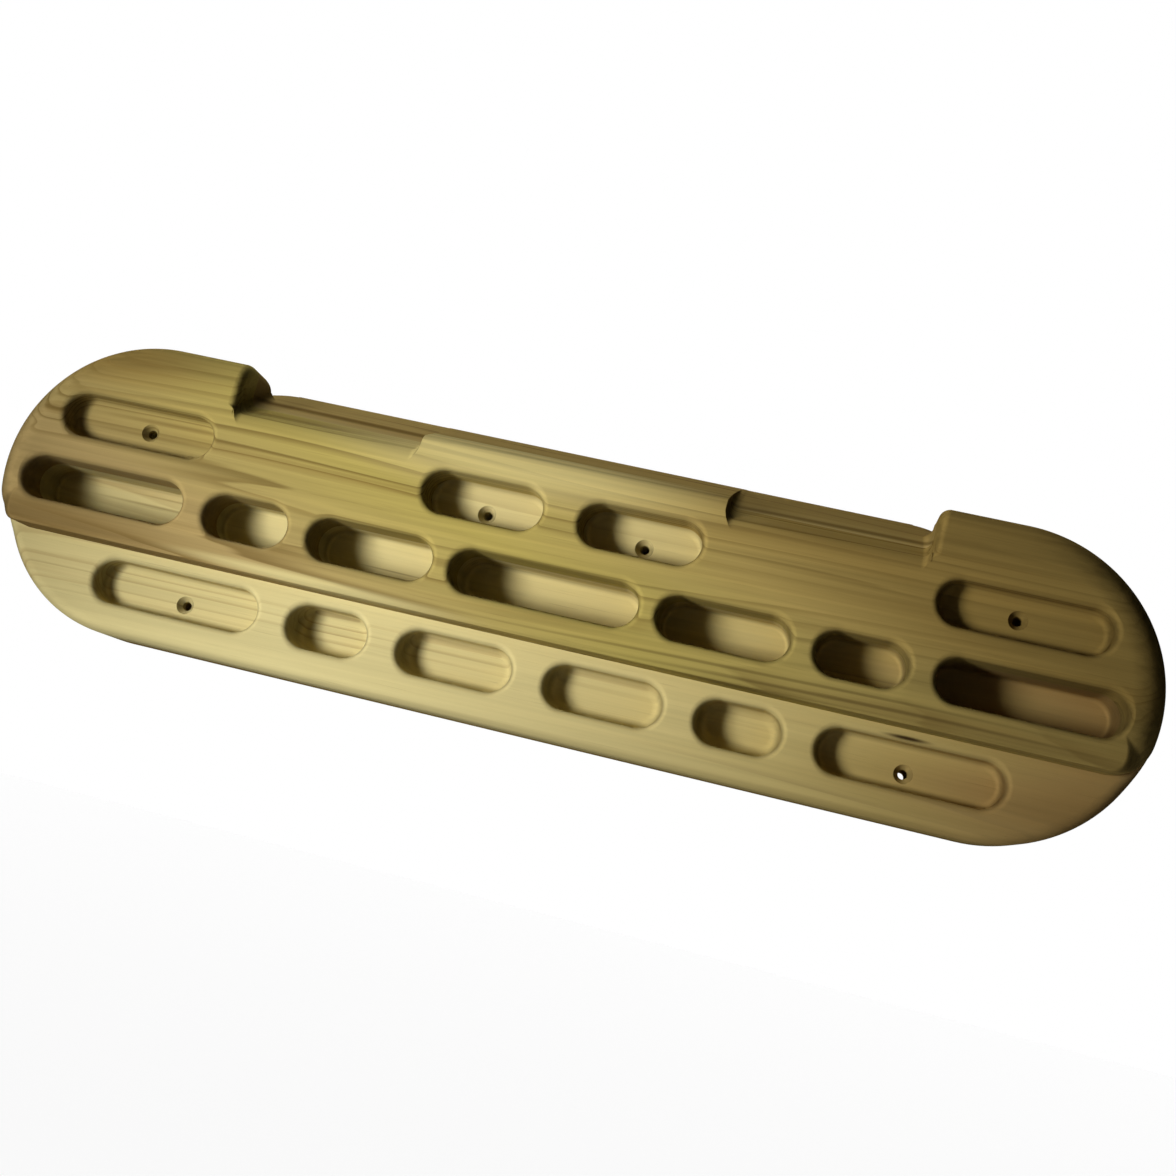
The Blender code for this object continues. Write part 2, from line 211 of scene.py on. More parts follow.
def upper_round(start, outward):
    """The wide round at the ends narrows round the corner into the step."""
    turned_up = 1 + math.degrees(math.asin(max(outward.z, -1.0))) / 90
    return blend(STEP_ROUND, UPPER_ROUND, turned_up / STEP_FADE)


def blank(name, outline, back, front, back_round, front_round):
    """Pulls an outline up from back to front, round a quarter circle at each edge that has a round."""
    bm = bmesh.new()
    start, outward = store_layers(bm)
    edges = outline(bm)
    quarter = [math.pi / 2 * step / ROUND_STEPS for step in range(ROUND_STEPS + 1)]
    rings = [(back, back_round, 1, turn) for turn in quarter] if back_round else [(back, None, 1, 0)]
    if front_round:
        rings += [(front, front_round, -1, turn) for turn in quarter[::-1]]
    else:
        rings.append((front, None, 1, 0))

    def place(vert, ring):
        """Where a vertex of the outline goes in a ring."""
        depth, edge_round, way, turn = ring
        size = edge_round(vert[start], vert[outward]) if edge_round else 0
        inward = size * (1 - math.sin(turn))
        forward = depth + way * size * (1 - math.cos(turn))
        return vert[start] - vert[outward] * inward + Vector((0, -forward, 0))

    for vert in bm.verts:
        vert.co = place(vert, rings[0])
    bmesh.ops.edgeloop_fill(bm, edges=edges)
    for ring in rings[1:]:
        edges = pull_loop(bm, edges, lambda vert: place(vert, ring))
    bmesh.ops.edgeloop_fill(bm, edges=edges)
    return close_mesh(name, bm)


boards = {
    "back_board": blank("back_board", plain_outline, 0, BACK_SEAM, rear_round, None),
    "middle_board": blank("middle_board", plain_outline, BACK_SEAM + HAIR, LOWER_FACE, None, lower_round),
    "front_board": blank("front_board", stepped_outline, LOWER_FACE + HAIR, FRONT_FACE, None, upper_round),
}
for name, board in boards.items():
    print(name, "has", len(board.data.polygons), "faces")

# %% [markdown]
# Every hold is cut from the blank, as the router cuts it. A slot is the path of a round cutter: straight
# walls with round ends, a round where the wall meets the floor, and a soft rim. Its cutter is pulled up
# like the blank, from the floor to above the face. Its rings follow the profile of that router bit. The
# middle row has sharper rounds on its floors than the CAD model, because the photograph shows nearly square
# corners there.
#
# Each slot has its inner and outer end, measured from the middle of the board, then its row, the face that it
# is cut from, its depth and the round of its floor.

# %% Finger slots
TOP_ROW_Z = 29.2 * MM
MIDDLE_ROW_Z = -6.2 * MM
BOTTOM_ROW_Z = -48.2 * MM
SLOT_WIDTH = 22 * MM
RIM_ROUND = 3.5 * MM
SLOT_STEPS = 40 if FINE else 16
BIT_STEPS = 10 if FINE else 4

Slot = namedtuple("Slot", "inner outer row face depth floor_round")
SLOTS = {
    "top_outer": Slot(180.7 * MM, 260.2 * MM, TOP_ROW_Z, FRONT_FACE, 12.5 * MM, 3.5 * MM),
    "top_inner": Slot(9.5 * MM, 69 * MM, TOP_ROW_Z, FRONT_FACE, 22 * MM, 3.5 * MM),
    "middle_outer": Slot(186.7 * MM, 272.5 * MM, MIDDLE_ROW_Z, FRONT_FACE, 37 * MM, 2.5 * MM),
    "middle_two": Slot(131 * MM, 174 * MM, MIDDLE_ROW_Z, FRONT_FACE, 28.5 * MM, 2.5 * MM),
    "middle_three": Slot(56 * MM, 119 * MM, MIDDLE_ROW_Z, FRONT_FACE, 31 * MM, 2.5 * MM),
    "middle_centre": Slot(-46.3 * MM, 46.3 * MM, MIDDLE_ROW_Z, FRONT_FACE, 34 * MM, 4 * MM),
    "bottom_outer": Slot(141.3 * MM, 228.9 * MM, BOTTOM_ROW_Z, LOWER_FACE, 13 * MM, 3.5 * MM),
    "bottom_two": Slot(83.3 * MM, 124.2 * MM, BOTTOM_ROW_Z, LOWER_FACE, 18 * MM, 6 * MM),
    "bottom_three": Slot(8.7 * MM, 66.4 * MM, BOTTOM_ROW_Z, LOWER_FACE, 14.5 * MM, 6 * MM),
}


def quarter_arc(centre, radius, first, last, steps):
    """Points round a quarter circle, or a part of one. Angles in degrees."""
    turns = [math.radians(first + (last - first) * step / steps) for step in range(steps + 1)]
    return [(centre[0] + radius * math.cos(turn), centre[1] + radius * math.sin(turn)) for turn in turns]


def slot_cutter(name, inner, outer, row, face, depth, floor_round):
    """A slot's cutter. Each ring of it is a distance from the middle line of the slot and a depth."""
    wall = SLOT_WIDTH / 2
    floor = face - depth
    rings = quarter_arc((wall - floor_round, floor + floor_round), floor_round, -90, 0, BIT_STEPS)
    rings += quarter_arc((wall + RIM_ROUND, face - RIM_ROUND), RIM_ROUND, 180, 90, BIT_STEPS)
    rings.append((wall + RIM_ROUND, face + CLEAR))
    bm = bmesh.new()
    start, outward = store_layers(bm)
    chain = []
    for side, end in ((1, outer - wall), (-1, inner + wall)):
        turn = [((end, 0, row), math.pi, SLOT_STEPS)]
        chain += spin_chain(bm, (end, 0, row - side * wall), turn, FRONT_AXIS)
    edges = close_loop(bm, chain)

    def place(vert, ring):
        """Where a vertex of the middle outline goes in a ring."""
        return vert[start] + vert[outward] * (ring[0] - wall) + Vector((0, -ring[1], 0))

    for vert in bm.verts:
        vert.co = place(vert, rings[0])
    bmesh.ops.edgeloop_fill(bm, edges=edges)
    for ring in rings[1:]:
        edges = pull_loop(bm, edges, lambda vert: place(vert, ring))
    bmesh.ops.edgeloop_fill(bm, edges=edges)
    return close_mesh(name, bm)


cutters = []
for name, (inner, outer, *sizes) in SLOTS.items():
    cutters.append(slot_cutter(f"{name}_right", inner, outer, *sizes))
    if inner > 0:
        cutters.append(slot_cutter(f"{name}_left", -outer, -inner, *sizes))
print(len(cutters), "slots")

# %% [markdown]
# Six screws hold the board to the wall. Each hole has a countersink for the screw's head. It is turned, as
# on a lathe: a few vertices give half of its profile, and a full spin about the hole's axis makes the
# cutter.

# %% Screw holes
SCREW_BORE = 4.6 * MM
COUNTERSINK = 9.2 * MM
COUNTERSINK_DEPTH = 3 * MM
HOLE_CLEAR = 0.2 * MM
HOLE_STEPS = 48 if FINE else 16
SCREWS = [
    ("top_outer", 218.6 * MM, 28.8 * MM),
    ("top_inner", 40.2 * MM, 26.3 * MM),
    ("bottom_outer", 183.5 * MM, -50.9 * MM),
]


def screw_cutter(name, x, z, floor):
    """Spins half a profile into a countersunk hole from a slot's floor to the back."""
    widening = (COUNTERSINK - SCREW_BORE) / 2 / COUNTERSINK_DEPTH
    mouth = COUNTERSINK / 2 + HOLE_CLEAR * widening
    profile = [
        (SCREW_BORE / 2, -CLEAR),
        (SCREW_BORE / 2, floor - COUNTERSINK_DEPTH),
        (mouth, floor + HOLE_CLEAR),
        (mouth, floor + CLEAR),
    ]
    bm = bmesh.new()
    half = [bm.verts.new((x + radius, -forward, z)) for radius, forward in profile]
    edges = [bm.edges.new(pair) for pair in zip(half, half[1:])]
    bmesh.ops.spin(bm, geom=half + edges, cent=(x, 0, z), axis=(0, 1, 0), angle=math.tau, steps=HOLE_STEPS,
                   use_merge=True)
    bmesh.ops.holes_fill(bm, edges=bm.edges)
    return close_mesh(name, bm)


for slot, x, z in SCREWS:
    floor = SLOTS[slot].face - SLOTS[slot].depth
    cutters += [screw_cutter(f"screw_{slot}_{side}", side * x, z, floor) for side in (-1, 1)]
print(len(cutters), "cutters with the screw holes")

# %% [markdown]
# The sloping holds run along the top, and only friction keeps a hand on them. The middle one leans back by
# 20 degrees and the two beside it by 27.5. Each cutter is a side view of what the cutter takes away. It's
# extruded along the board, and its end edges are bevelled, because the router leaves a round in each inner
# corner.

# %% Sloping holds
SIDE_SLOPE = math.radians(27.5)
CENTRE_SLOPE = math.radians(20)
SIDE_SLOPE_ROUND = 10 * MM
CENTRE_SLOPE_ROUND = 7 * MM
CENTRE_HALF = 76 * MM
CENTRE_FILLET = 5 * MM
LOBE_INNER = 174 * MM
LOBE_FILLET = 4.5 * MM


def slope_cutter(name, slope, edge_round, first, last, fillets):
    """Extrudes a side view along the board. A fillet is the place of an end and its corner's radius."""
    fall = math.tan(slope)
    centre = Vector((first, -(FRONT_FACE - edge_round), END_RADIUS - (FRONT_FACE - edge_round) * fall
                     - edge_round / math.cos(slope)))
    touch = centre + Vector((0, -math.sin(slope), math.cos(slope))) * edge_round
    bm = bmesh.new()
    store_layers(bm)
    chain = [bm.verts.new((first, CLEAR, END_RADIUS + CLEAR * fall))]
    chain += spin_chain(bm, touch, [(centre, math.pi / 2 - slope, ROUND_STEPS)], (1, 0, 0))
    for forward, z in ((FRONT_FACE + CLEAR, centre.z), (FRONT_FACE + CLEAR, HEIGHT), (-CLEAR, HEIGHT)):
        chain.append(bm.verts.new((first, -forward, z)))
    face = bmesh.ops.edgeloop_fill(bm, edges=close_loop(bm, chain))["faces"]
    side_view = face + face[0].edges[:] + face[0].verts[:]
    made = bmesh.ops.extrude_face_region(bm, geom=side_view, use_keep_orig=True)
    moved = [item for item in made["geom"] if isinstance(item, bmesh.types.BMVert)]
    bmesh.ops.translate(bm, verts=moved, vec=(last - first, 0, 0))
    for x, radius in fillets:
        edges = [edge for edge in bm.edges if is_inner_corner(edge, x)]
        bmesh.ops.bevel(bm, geom=edges, offset=radius, segments=ROUND_STEPS // 2, profile=0.5, affect="EDGES",
                        material=-1)
    return close_mesh(name, bm)


def is_inner_corner(edge, x):
    """True for the edges that a slope's end wall shares with the slope and the round in front of it."""
    middle = (edge.verts[0].co + edge.verts[1].co) / 2
    along = edge.verts[1].co - edge.verts[0].co
    at_end = all(abs(vert.co.x - x) < HAIR for vert in edge.verts)
    return at_end and middle.z < END_RADIUS + CLEAR and abs(along.y) > HAIR / 10 and middle.y > -FRONT_FACE


centre_ends = (-LOBE_INNER / 2, LOBE_INNER / 2)
cutters.append(slope_cutter("centre_slope", CENTRE_SLOPE, CENTRE_SLOPE_ROUND, *centre_ends, fillets=[]))
for side in (-1, 1):
    fillets = [(side * CENTRE_HALF, CENTRE_FILLET), (side * LOBE_INNER, LOBE_FILLET)]
    ends = (side * CENTRE_HALF, side * LOBE_INNER)
    cutters.append(slope_cutter(f"side_slope_{side}", SIDE_SLOPE, SIDE_SLOPE_ROUND, *ends, fillets))
print(len(cutters), "cutters with the slopes")

# %% [markdown]
# A jug is the biggest hold: the hand goes over the lobe at the end of the board, and the fingers drop into a
# trough behind it. The trough's floor comes down in a wide round at its inner end, so its side view changes
# from place to place. Such a cutter is a loft. Each vertex of its first side view has a number, and it's
# extruded to the point with that number in the next side view. Where the slope and the floor meet, the lower
# one wins. The formula for that is a soft minimum, which leaves a small round and not a crease.

# %% Troughs behind the lobes
TROUGH_DEPTH = 17.5 * MM
TROUGH_FLOOR_Z = 50 * MM
TROUGH_FILLET = 12 * MM
TROUGH_LIP_ROUND = 8 * MM
TROUGH_START = 165 * MM
TROUGH_DROP = END_RADIUS - TROUGH_FLOOR_Z
SLOPE_CLEAR = 0.1 * MM
SOFTEN = 0.8 * MM


def loft(name, views):
    """Extrudes the first view to each of the others in turn. A view is a closed row of points."""
    bm = bmesh.new()
    number = bm.verts.layers.int.new("number")
    chain = [bm.verts.new(point) for point in views[0]]
    for place, vert in enumerate(chain):
        vert[number] = place
    edges = close_loop(bm, chain)
    bmesh.ops.edgeloop_fill(bm, edges=edges)
    for view in views[1:]:
        edges = pull_loop(bm, edges, lambda vert: view[vert[number]])
    bmesh.ops.edgeloop_fill(bm, edges=edges)
    return close_mesh(name, bm)


def soft_lower(first, second):
    """The lower of two heights, with a small round where they are nearly the same."""
    return -SOFTEN * math.log(math.exp(-first / SOFTEN) + math.exp(-second / SOFTEN))


def trough_floor(forward, floor_z, fillet):
    """Height of the trough's floor, which turns up into its front wall."""
    past = max(forward - (TROUGH_DEPTH - fillet), 0)
    return floor_z + fillet - math.sqrt(max(fillet ** 2 - past ** 2, 0))


def trough_view(x, drop):
    """The hollow at one place. The drop is the share of the way down that its floor has come."""
    floor_z = END_RADIUS - TROUGH_DROP * drop
    into_lobe = (x - TROUGH_START) / (LOBE_INNER - TROUGH_START)
    top = END_RADIUS + SLOPE_CLEAR * (1 - 2 * min(into_lobe, 1))
    points = []
    for step in range(ROUND_STEPS + 1):
        forward = TROUGH_DEPTH * math.sin(math.pi / 2 * step / ROUND_STEPS)
        slope_z = top - forward * math.tan(SIDE_SLOPE)
        points.append((forward, soft_lower(slope_z, trough_floor(forward, floor_z, TROUGH_FILLET * drop))))
    points.insert(0, (-CLEAR, points[0][1]))
    centre = (TROUGH_DEPTH + TROUGH_LIP_ROUND, END_RADIUS - TROUGH_LIP_ROUND)
    points += quarter_arc(centre, TROUGH_LIP_ROUND, 180, 90, ROUND_STEPS)
    return points + [(centre[0], HEIGHT), (-CLEAR, HEIGHT)]


def trough_cutter(name, side):
    """The trough from its inner end to past the end of the board."""
    views = []
    for step in range(ROUND_STEPS + 1):
        turn = math.pi / 2 * step / ROUND_STEPS
        x = TROUGH_START + TROUGH_DROP * math.sin(turn)
        views.append([(side * x, -forward, z) for forward, z in trough_view(x, 1 - math.cos(turn))])
    views.append([(side * LENGTH, y, z) for x, y, z in views[-1]])
    return loft(name, views)


cutters += [trough_cutter(f"trough_{side}", side) for side in (-1, 1)]
print(len(cutters), "cutters with the troughs")

# %% [markdown]
# The inner edge of each lobe is where the little finger rests, so it has a round of its own. A thin cutter
# follows that edge from the slope's front up over the lobe to its lip, and it grows as it goes.

# %% Inner edges of the lobes
LOBE_FRONT_ROUND = 4 * MM
LOBE_TOP_ROUND = 5.5 * MM
LEAST_ROUND = 0.3 * MM
LIP_STEPS = 11 if FINE else 5


def lobe_edge_path():
    """Depth, height, angle and size of the round at each place on the edge."""
    path = []
    low = END_RADIUS - FRONT_FACE * math.tan(SIDE_SLOPE)
    high = END_RADIUS - UPPER_ROUND
    for step in range(2 * ROUND_STEPS + 1):
        z = low + (high - low) * step / (2 * ROUND_STEPS)
        room = FRONT_FACE - (END_RADIUS - z) / math.tan(SIDE_SLOPE) - LOBE_FILLET
        path.append((FRONT_FACE, z, 0, min(max(room, LEAST_ROUND), LOBE_FRONT_ROUND)))
    for step in range(1, ROUND_STEPS + 1):
        turn = math.pi / 2 * step / ROUND_STEPS
        forward = FRONT_FACE - UPPER_ROUND * (1 - math.cos(turn))
        size = blend(LOBE_FRONT_ROUND, LOBE_TOP_ROUND, step / ROUND_STEPS)
        path.append((forward, high + UPPER_ROUND * math.sin(turn), turn, size))
    for step in range(LIP_STEPS + 1):
        turn = math.pi / 2 * (1 + step / LIP_STEPS)
        forward = TROUGH_DEPTH + TROUGH_LIP_ROUND * (1 + math.cos(turn))
        z = END_RADIUS - TROUGH_LIP_ROUND * (1 - math.sin(turn))
        path.append((forward, z, turn, blend(LOBE_TOP_ROUND, LEAST_ROUND, step / LIP_STEPS)))
    return path


def lobe_edge_cutter(name, side):
    """Sweeps the round along the inner edge."""
    views = []
    for forward, z, turn, size in lobe_edge_path():
        points = quarter_arc((size, HAIR - size), size, 180, 90, BIT_STEPS)
        points += [(size, CLEAR), (-LEAST_ROUND, CLEAR), (-LEAST_ROUND, HAIR - size)]
        views.append([(side * (LOBE_INNER + along), -(forward + up * math.cos(turn)), z + up * math.sin(turn))
                      for along, up in points])
    return loft(name, views)


cutters += [lobe_edge_cutter(f"lobe_edge_{side}", side) for side in (-1, 1)]
print(len(cutters), "cutters in all")

# %% [markdown]
# Now the cutting. A Boolean modifier takes one cutter from a board, and the exact solver copes with the many
# rounds that run into each other. The result is read back as a plain mesh, and the cutters are thrown away.
# Only edges sharper than 30 degrees stay sharp. Weighted normals keep the large flat faces flat beside the
# rounds.

# %% Cut the boards
SHARP_ANGLE = math.radians(30)


def corners_of(made):
    """Lowest and highest corner."""
    corners = [Vector(corner) for corner in made.bound_box]
    return [Vector([pick(corner[axis] for corner in corners) for axis in range(3)]) for pick in (min, max)]


def reaches(cutter, board):
    """True if the two boxes meet."""
    low, high = corners_of(cutter)
    board_low, board_high = corners_of(board)
    return all(low[axis] < board_high[axis] and board_low[axis] < high[axis] for axis in range(3))


def cut(board):
    """Takes every cutter that reaches the board from it."""
    for cutter in cutters:
        if reaches(cutter, board):
            modifier = board.modifiers.new(cutter.name, "BOOLEAN")
            modifier.operation = "DIFFERENCE"
            modifier.solver = "EXACT"
            modifier.object = cutter
    whole = board.evaluated_get(bpy.context.evaluated_depsgraph_get())
    mesh = bpy.data.meshes.new_from_object(whole)
    board.modifiers.clear()
    board.data = mesh
    mesh.shade_smooth()
    mesh.set_sharp_from_angle(angle=SHARP_ANGLE)
    weighted = board.modifiers.new("weighted normals", "WEIGHTED_NORMAL")
    weighted.keep_sharp = True


for board in boards.values():
    cut(board)
for cutter in cutters:
    bpy.data.objects.remove(cutter, do_unlink=True)
for name, board in boards.items():
    bm = bmesh.new()
    bm.from_mesh(board.data)
    open_edges = sum(not edge.is_manifold for edge in bm.edges)
    print(name, len(bm.faces), "faces,", open_edges, "open edges,", round(bm.calc_volume() * 1e6, 1), "cm3")
    bm.free()

# %% [markdown]
# Each new board hangs from the root body, and the CAD board that it stands for is hidden.

# %% Put the boards in the frame
for name, board in boards.items():
    lamination = name.replace("board", "lamination")
    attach(board, "root")
    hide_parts(lamination)
print("replaced", len(boards), "boards")

# %% [markdown]
# The finish is bare sanded tulipwood. Wood is a solid, so its grain has to run through the slots and round
# the edges, and not lie on them like paper. A pattern on the object's own coordinates does that. The nodes
# are put together by small helpers: one adds a node, others do sums, give stretched noise and blend
# colours.

# %% Helpers for materials
def add_node(tree, kind, inputs=None, **settings):
    """Adds a node. An input is a plain value, or another node's output to link."""
    node = tree.nodes.new("ShaderNode" + kind)
    for setting, value in settings.items():
        setattr(node, setting, value)
    for socket, value in (inputs or {}).items():
        if isinstance(value, bpy.types.NodeSocket):
            tree.links.new(value, node.inputs[socket])
        else:
            node.inputs[socket].default_value = value
    return node


def calc(tree, operation, *values):
    """One step of arithmetic."""
    return add_node(tree, "Math", dict(enumerate(values)), operation=operation).outputs[0]


def vector_calc(tree, operation, *values):
    """One step of arithmetic on vectors."""
    return add_node(tree, "VectorMath", dict(enumerate(values)), operation=operation).outputs[0]


def vector_length(tree, value):
    """How long a vector is."""
    return add_node(tree, "VectorMath", {0: value}, operation="LENGTH").outputs["Value"]


def stretched_noise(tree, place, across, along, detail, seed):
    """Noise from 0 to 1, with so many spots to the metre across the grain and along it."""
    scaled = add_node(tree, "Mapping", {"Vector": place, "Location": (seed, seed, seed),
                                        "Scale": (along, across, across)})
    return add_node(tree, "TexNoise", {"Vector": scaled.outputs[0], "Scale": 1.0, "Detail": detail})


def mix_colours(tree, factor, first, second):
    """Blends two colours: the first where the factor is 0, the second where it is 1."""
    node = add_node(tree, "Mix", {0: factor, 6: first, 7: second}, data_type="RGBA")
    return node.outputs[2]


def span(tree, value, low, high):
    """0 where the value is at or below low, 1 where it is at or above high, and smooth between."""
    node = add_node(tree, "MapRange", {"Value": value, "From Min": low, "From Max": high},
                    interpolation_type="SMOOTHSTEP")
    return node.outputs[0]


def paint_colour(red, green, blue):
    """A colour as a screen shows it, from 0 to 255, turned into the light that a shader needs."""
    light = [((part / 255 + 0.055) / 1.055) ** 2.4 for part in (red, green, blue)]
    return (*light, 1.0)


print("mid grey is", round(paint_colour(128, 128, 128)[0], 3), "of white")

# %% [markdown]
# A tree adds a ring each year, and a board is a slice through those rings. So the pattern starts from the
# distance to the tree's centre line, which lies outside the board and nearly along it. Because it's a little
# tilted, the rings come out of the face as long pointed arches. Noise bends them, as a real trunk is never
# straight. In each ring the wood gets slowly darker and then starts again with pale spring wood, so the
# profile is a saw's tooth. Every ring also has a tone of its own. A pair of numbers for a noise says how many
# spots it has to the metre, across the grain and along it.

# %% Growth rings
RING_BEND = 0.016
BENDS = (10, 2.2)
GOOD_YEARS = (60, 1.2)
LATE_WOOD = 0.55
RING_TURN = 0.93
YEARS_DRIFT = 4.0


def wood_place(tree, place, seed):
    """The place in the trunk, bent across the grain by slow noise."""
    bend = stretched_noise(tree, place, *BENDS, 1.0, seed).outputs["Color"]
    centred = vector_calc(tree, "SUBTRACT", bend, (0.5, 0.5, 0.5))
    return vector_calc(tree, "MULTIPLY_ADD", centred, (0, RING_BEND, RING_BEND), place)


def growth_rings(tree, bent, pith, tilt, spacing):
    """Dark line of late wood from 0 to 1, and a tone from 0 to 1 for each year."""
    from_pith = add_node(tree, "Mapping", {"Vector": bent, "Location": pith, "Rotation": tilt}).outputs[0]
    radius = vector_length(tree, vector_calc(tree, "MULTIPLY", from_pith, (0, 1, 1)))
    good_years = stretched_noise(tree, bent, *GOOD_YEARS, 2.0, spacing).outputs["Fac"]
    year = calc(tree, "MULTIPLY_ADD", good_years, YEARS_DRIFT, calc(tree, "DIVIDE", radius, spacing))
    part = calc(tree, "FRACT", year)
    rise = span(tree, part, LATE_WOOD, RING_TURN)
    fall = span(tree, part, 1.0, RING_TURN)
    whole_year = calc(tree, "FLOOR", year)
    tone = add_node(tree, "TexWhiteNoise", {"W": whole_year}, noise_dimensions="1D").outputs["Value"]
    return calc(tree, "MULTIPLY", rise, fall), tone


print("late wood starts at", LATE_WOOD, "of a ring")

# %% [markdown]
# The three boards come from different planks. The front one is olive heartwood, pinkish towards the left end
# and browner towards the right. The middle one is pale sapwood, and the back one is brown. All share one
# recipe:
#
# - a base tone that changes slowly along the board, with boundaries drawn out by the grain
# - the lines of the growth rings, strong in some places and faint in others
# - fine streaks of fibres and pores along the grain
# - darker end grain, where the cutter went across the fibres
# - painted shade on the edges, walls and slopes that turn away from the front
# - a few marks, each a soft spot drawn out along the grain; one of them is painted shade under the step
# - fibres that stand up a little as bump
# - no gloss, because the wood is bare, though its roughness follows the fibres in case it's oiled later
#
# A range says at which value an effect starts, and at which it is full. A mark has a centre and a size in
# metres, a colour, and a depth from 0 to 1.

# %% Timber
DRIFTS = (26, 1.6)
PATCHES = (30, 2.5)
BANDS = (110, 2.0)
STREAKS = (420, 5)
PORES = (1900, 28)
PATCH_RANGE = (0.35, 0.68)
BAND_RANGE = (0.48, 0.72)
PORE_RANGE = (0.62, 0.8)
END_GRAIN_RANGE = (0.35, 0.95)
TURNED_RANGE = (0.97, 0.6)
MARK_RANGE = (1.0, 0.2)
TONE_DRIFT = 0.22
BAND_SHARE = 0.9
PORE_SHARE = 0.22
PORE_COLOUR = paint_colour(92, 70, 38)
YEAR_CONTRAST = 0.3
BAND_CONTRAST = 1.2
END_GRAIN_SHADE = 0.42
# Painted shade: the share by which a surface turned away from the front is made darker.
TURNED_AWAY_PAINTED_SHADE = 0.16
ROUGHNESS = 0.52
END_GRAIN_ROUGHNESS = 0.12
STREAK_ROUGHNESS = 0.16
FIBRE_HEIGHT = 0.12 * MM
STREAK_HEIGHT = 0.8
PORE_HEIGHT = -0.6
LATE_WOOD_HEIGHT = 0.4

Mark = namedtuple("Mark", "centre size colour depth")


def soft_spot(tree, place, centre, size):
    """1 in the middle of a long spot, and 0 outside it."""
    moved = vector_calc(tree, "SUBTRACT", place, centre)
    away = vector_length(tree, vector_calc(tree, "DIVIDE", moved, size))
    return span(tree, away, *MARK_RANGE)


def tone_along(tree, bent, tones, lean, seed):
    """The base tone. A tone is a place along the board and a colour. A lean shifts the places with height."""
    drift = stretched_noise(tree, bent, *DRIFTS, 2.0, seed + 3).outputs["Fac"]
    sides = add_node(tree, "SeparateXYZ", {0: bent}).outputs
    leaning = calc(tree, "MULTIPLY_ADD", sides["Z"], lean, sides["X"])
    shifted = calc(tree, "MULTIPLY_ADD", calc(tree, "SUBTRACT", drift, 0.5), TONE_DRIFT, leaning)
    share = add_node(tree, "MapRange", {"Value": shifted, "From Min": -LENGTH / 2, "From Max": LENGTH / 2})
    ramp = add_node(tree, "ValToRGB", {"Fac": share.outputs[0]})
    stops = ramp.color_ramp.elements
    for number, (along, colour) in enumerate(tones):
        position = along / LENGTH + 0.5
        stop = stops[number] if number < 2 else stops.new(position)
        stop.position = position
        stop.color = paint_colour(*colour)
    return ramp.outputs["Color"]


def timber(name, tones, lean, late_wood, pith, tilt, spacing, ring_strength, streak_strength, seed, marks):
    """The whole material of a board. Each noise has a seed of its own, so that no two patterns match."""
    material = bpy.data.materials.new(name)
    material.use_nodes = True
    tree = material.node_tree
    shader = tree.nodes["Principled BSDF"]
    coordinates = add_node(tree, "TexCoord")
    place = coordinates.outputs["Object"]
    bent = wood_place(tree, place, seed)

    line, year_tone = growth_rings(tree, bent, pith, tilt, spacing)
    patches = stretched_noise(tree, bent, *PATCHES, 1.0, seed + 5).outputs["Fac"]
    strength = calc(tree, "MULTIPLY", span(tree, patches, *PATCH_RANGE), ring_strength)
    late = calc(tree, "MULTIPLY", line, strength)
    streaks = stretched_noise(tree, bent, *STREAKS, 3.0, seed + 7).outputs["Fac"]
    bands = stretched_noise(tree, bent, *BANDS, 3.0, seed + 9).outputs["Fac"]
    pores = stretched_noise(tree, place, *PORES, 2.0, seed + 11).outputs["Fac"]

    late_colour = paint_colour(*late_wood)
    colour = tone_along(tree, bent, tones, lean, seed)
    band_strength = calc(tree, "MULTIPLY", strength, BAND_SHARE)
    darker = calc(tree, "MULTIPLY", span(tree, bands, *BAND_RANGE), band_strength)
    colour = mix_colours(tree, darker, colour, late_colour)
    colour = mix_colours(tree, late, colour, late_colour)
    in_pores = calc(tree, "MULTIPLY", span(tree, pores, *PORE_RANGE), PORE_SHARE)
    colour = mix_colours(tree, in_pores, colour, PORE_COLOUR)
    for mark in marks.values():
        spot = calc(tree, "MULTIPLY", soft_spot(tree, bent, mark.centre, mark.size), mark.depth)
        colour = mix_colours(tree, spot, colour, paint_colour(*mark.colour))

    facing = add_node(tree, "SeparateXYZ", {0: coordinates.outputs["Normal"]}).outputs
    end_grain = span(tree, calc(tree, "ABSOLUTE", facing["X"]), *END_GRAIN_RANGE)
    # Painted shade: the more a surface turns away from the front, the darker its colour is made.
    turned = span(tree, calc(tree, "ABSOLUTE", facing["Y"]), *TURNED_RANGE)
    shade = 1.0
    for pattern, contrast in ((streaks, 1.0), (year_tone, YEAR_CONTRAST), (bands, BAND_CONTRAST)):
        centred = calc(tree, "SUBTRACT", pattern, 0.5)
        shade = calc(tree, "MULTIPLY_ADD", centred, streak_strength * contrast, shade)
    for area, darkening in ((end_grain, END_GRAIN_SHADE), (turned, TURNED_AWAY_PAINTED_SHADE)):
        shade = calc(tree, "MULTIPLY", shade, calc(tree, "MULTIPLY_ADD", area, -darkening, 1.0))
    colour = add_node(tree, "VectorMath", {0: colour, "Scale": shade}, operation="SCALE").outputs[0]
    tree.links.new(colour, shader.inputs["Base Color"])

    rough = calc(tree, "MULTIPLY_ADD", end_grain, END_GRAIN_ROUGHNESS, ROUGHNESS)
    rough = calc(tree, "MULTIPLY_ADD", streaks, STREAK_ROUGHNESS, rough)
    tree.links.new(rough, shader.inputs["Roughness"])
    shader.inputs["Specular IOR Level"].default_value = 0
    height = calc(tree, "MULTIPLY", streaks, STREAK_HEIGHT)
    height = calc(tree, "MULTIPLY_ADD", pores, PORE_HEIGHT, height)
    height = calc(tree, "MULTIPLY_ADD", late, LATE_WOOD_HEIGHT, height)
    bump = add_node(tree, "Bump", {"Height": height, "Distance": FIBRE_HEIGHT, "Strength": 1.0})
    tree.links.new(bump.outputs["Normal"], shader.inputs["Normal"])
    return material


